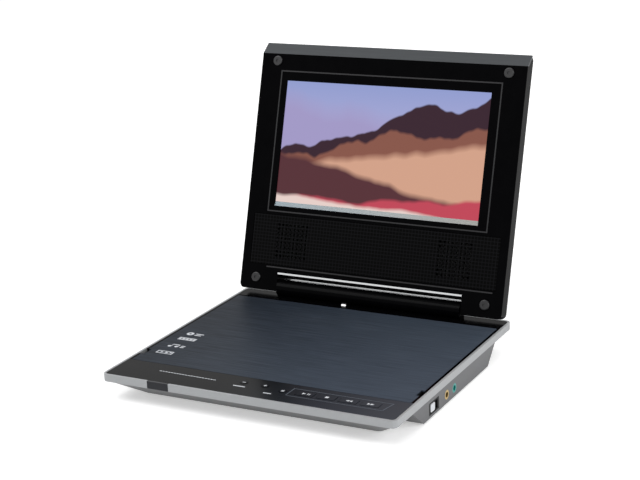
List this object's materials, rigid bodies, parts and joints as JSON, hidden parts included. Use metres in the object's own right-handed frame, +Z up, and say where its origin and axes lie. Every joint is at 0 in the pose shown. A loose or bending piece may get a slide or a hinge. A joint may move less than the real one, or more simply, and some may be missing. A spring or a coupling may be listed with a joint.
{
  "type": "portable disc player",
  "caption": "Portable disc player with a folding lid screen, a brushed disc door, a control strip, speakers, side sockets and a power slide.",
  "frame": {"origin": "middle of the front foot strip's underside, on the table", "axes": "+X to the user's right, +Y from the front to the hinge, +Z up"},
  "size_m": [0.2044, 0.2359, 0.1891],
  "materials": {
    "gloss_black": "gloss black moulding",
    "strip_gloss": "gloss black strip with printed marks",
    "silver": "silver painted frame",
    "case_grey": "satin dark grey case",
    "brushed_skin": "blue-grey brushed sheet",
    "door_black": "matt black",
    "band_grey": "satin grey band",
    "bright_trim": "polished strip",
    "rubber": "soft rubber",
    "key_black": "gloss key caps",
    "knob_white": "white knob",
    "smoked_window": "smoked window",
    "led": "white lamp",
    "gold": "gilt socket collar",
    "teal": "teal socket",
    "screen": "lit screen",
    "ledge": "glossy screen sill",
    "board": "circuit board",
    "steel": "plain steel",
    "loader_plastic": "black moulding",
    "lens": "lens",
    "backlight": "white light box",
    "battery": "wrapped cells",
    "speaker": "speaker frame and magnet"
  },
  "bodies": {
    "base": {"battery_hatch": "case_grey", "battery_pack": "battery", "case_screws": "steel", "control_strip": "strip_gloss", "dampers": "rubber", "deck_frame": "gloss_black", "disc_tray": "door_black", "feed_motor": "steel", "feet": "rubber", "guide_rods": "steel", "headphone_jack": "gold", "hinge_barrel": "gloss_black", "ir_window": "smoked_window", "key_board": "board", "loader_plate": "steel", "lower_case": "case_grey", "main_board": "board", "power_led": "led", "power_switch": "loader_plastic", "rim_frame": "silver", "spindle_motor": "steel", "switch_bezel": "door_black", "video_jack": "teal"},
    "lid": {"lid_back": "gloss_black", "lid_bezel": "gloss_black", "top_band": "band_grey", "notch_trim": "bright_trim", "back_trim": "bright_trim", "face_beads": "gloss_black", "lid_bumpers": "rubber", "speaker_grille": "door_black", "speaker_left": "speaker", "speaker_right": "speaker", "screen_ledge": "ledge", "lcd_panel": "screen", "backlight": "backlight", "screen_board": "board", "hinge_shafts": "steel", "hinge_brackets": "steel"},
    "door": {"door_panel": "door_black", "door_skin": "brushed_skin", "door_pins": "steel"},
    "turntable": {"turntable": "loader_plastic"},
    "pickup": {"pickup_sled": "loader_plastic", "pickup_lens": "lens"},
    "lead_screw": {"lead_screw": "steel"},
    "switch_knob": {"switch_knob": "knob_white"},
    "key_volume_down": {"key_volume_down": "key_black"},
    "key_volume_up": {"key_volume_up": "key_black"},
    "key_menu": {"key_menu": "key_black"},
    "key_play": {"key_play": "key_black"},
    "key_stop": {"key_stop": "key_black"},
    "key_back": {"key_back": "key_black"},
    "key_next": {"key_next": "key_black"}
  },
  "joints": [
    {"name": "lid_hinge", "type": "hinge", "parent": "base", "child": "lid", "pos_m": [0, 0.1468, 0.02399], "axis": [-1, 0, 0], "range_deg": [-107.7, 27.3]},
    {"name": "door_hinge", "type": "hinge", "parent": "base", "child": "door", "pos_m": [0, 0.1355, 0.01645], "axis": [-1, 0, 0], "range_deg": [0, 35]},
    {"name": "turntable_spin", "type": "hinge", "parent": "base", "child": "turntable", "pos_m": [0, 0.068, 0.01], "axis": [0, 0, 1], "continuous": true},
    {"name": "pickup_slide", "type": "slide", "parent": "base", "child": "pickup", "axis": [1, 0, 0], "range_m": [0, 0.033]},
    {"name": "lead_screw_spin", "type": "hinge", "parent": "base", "child": "lead_screw", "pos_m": [0.024, 0.0535, 0.0062], "axis": [1, 0, 0], "continuous": true},
    {"name": "power_slide", "type": "slide", "parent": "base", "child": "switch_knob", "axis": [0, 1, 0], "range_m": [0, 0.0036]},
    {"name": "key_volume_down_press", "type": "slide", "parent": "base", "child": "key_volume_down", "axis": [0, 0, 1], "range_m": [-0.0005, 0], "stiffness_N_per_m": 300},
    {"name": "key_volume_up_press", "type": "slide", "parent": "base", "child": "key_volume_up", "axis": [0, 0, 1], "range_m": [-0.0005, 0], "stiffness_N_per_m": 300},
    {"name": "key_menu_press", "type": "slide", "parent": "base", "child": "key_menu", "axis": [0, 0, 1], "range_m": [-0.0005, 0], "stiffness_N_per_m": 300},
    {"name": "key_play_press", "type": "slide", "parent": "base", "child": "key_play", "axis": [0, 0, 1], "range_m": [-0.0005, 0], "stiffness_N_per_m": 300},
    {"name": "key_stop_press", "type": "slide", "parent": "base", "child": "key_stop", "axis": [0, 0, 1], "range_m": [-0.0005, 0], "stiffness_N_per_m": 300},
    {"name": "key_back_press", "type": "slide", "parent": "base", "child": "key_back", "axis": [0, 0, 1], "range_m": [-0.0005, 0], "stiffness_N_per_m": 300},
    {"name": "key_next_press", "type": "slide", "parent": "base", "child": "key_next", "axis": [0, 0, 1], "range_m": [-0.0005, 0], "stiffness_N_per_m": 300}
  ],
  "couplings": [
    {"joint": "lead_screw_spin", "follows": "pickup_slide", "rad_per_m": 3141.6}
  ]
}
